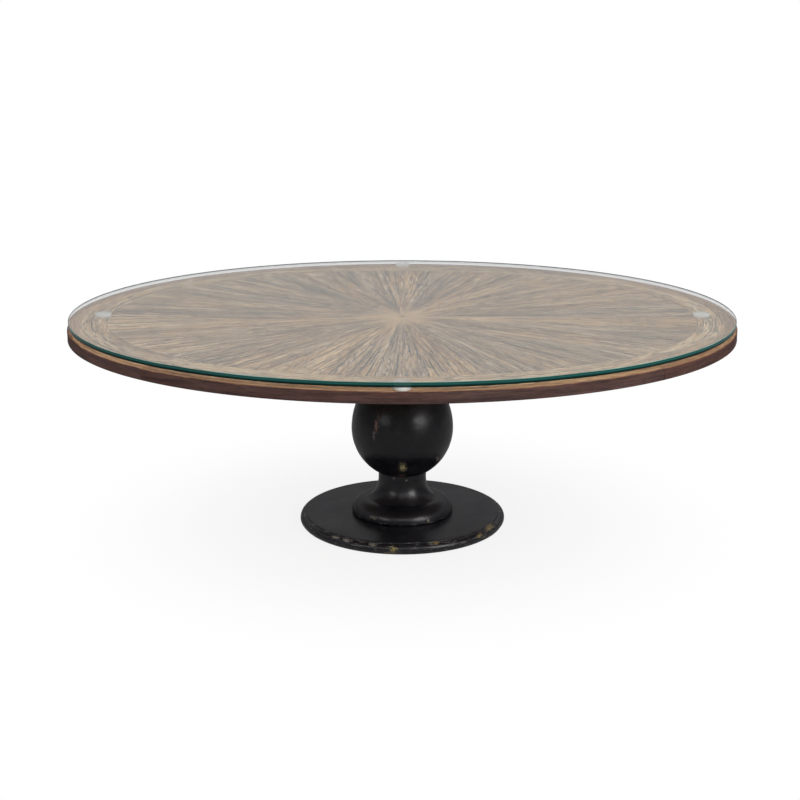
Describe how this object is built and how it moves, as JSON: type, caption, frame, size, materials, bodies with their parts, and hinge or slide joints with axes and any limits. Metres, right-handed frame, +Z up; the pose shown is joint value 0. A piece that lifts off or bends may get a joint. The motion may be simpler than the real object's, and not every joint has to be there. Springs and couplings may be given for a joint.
{
  "type": "oval pedestal dining table",
  "caption": "Oval dining table: a starburst plank top in a curved border, under a loose glass cover on pads, on a black turned ball pedestal with a round foot.",
  "frame": {"origin": "on the floor, under the middle of the pedestal and of the oval top", "axes": "+X along the length of the oval, +Y across it towards the back, +Z up"},
  "size_m": [2.4, 1.95, 0.7953],
  "materials": {
    "glass": "clear float glass with a polished blue-green edge",
    "pad": "whitish soft silicone",
    "weathered_oak": "weathered grey-brown reclaimed planks with dark cracks",
    "edge_oak": "weathered on top, stained dark on the edge and worn to bare wood along the arris",
    "plain_timber": "bare sawn timber",
    "black_paint": "black satin paint on turned wood, rubbed through in places",
    "zinc_steel": "zinc-plated steel"
  },
  "bodies": {
    "table": {"glass_pad_left": "pad", "glass_pad_right": "pad", "glass_pad_front": "pad", "glass_pad_back": "pad", "star_plank_01": "weathered_oak", "star_plank_02": "weathered_oak", "star_plank_03": "weathered_oak", "star_plank_04": "weathered_oak", "star_plank_05": "weathered_oak", "star_plank_06": "weathered_oak", "star_plank_07": "weathered_oak", "star_plank_08": "weathered_oak", "star_plank_09": "weathered_oak", "star_plank_10": "weathered_oak", "star_plank_11": "weathered_oak", "star_plank_12": "weathered_oak", "star_plank_13": "weathered_oak", "star_plank_14": "weathered_oak", "star_plank_15": "weathered_oak", "star_plank_16": "weathered_oak", "star_plank_17": "weathered_oak", "star_plank_18": "weathered_oak", "star_plank_19": "weathered_oak", "star_plank_20": "weathered_oak", "star_plank_21": "weathered_oak", "star_plank_22": "weathered_oak", "star_plank_23": "weathered_oak", "star_plank_24": "weathered_oak", "star_plank_25": "weathered_oak", "star_plank_26": "weathered_oak", "star_plank_27": "weathered_oak", "star_plank_28": "weathered_oak", "star_plank_29": "weathered_oak", "star_plank_30": "weathered_oak", "border_board_back": "edge_oak", "border_board_left": "edge_oak", "border_board_front": "edge_oak", "border_board_right": "edge_oak", "core_panel": "plain_timber", "beam_long": "plain_timber", "beam_short": "plain_timber", "mount_plate": "zinc_steel", "lag_screw_right": "zinc_steel", "lag_screw_back": "zinc_steel", "lag_screw_left": "zinc_steel", "lag_screw_front": "zinc_steel", "core_screw_right": "zinc_steel", "core_screw_back": "zinc_steel", "core_screw_left": "zinc_steel", "core_screw_front": "zinc_steel", "capital": "black_paint", "ball": "black_paint", "neck_and_collar": "black_paint", "base_plate": "black_paint", "tie_rod": "zinc_steel", "rod_washer": "zinc_steel", "rod_nut_bottom": "zinc_steel", "rod_nut_top": "zinc_steel"},
    "glass": {"glass_top": "glass"}
  },
  "joints": [
    {"name": "glass_lift", "type": "slide", "parent": "table", "child": "glass", "axis": [0, 0, 1], "range_m": [0, 0.3]}
  ]
}
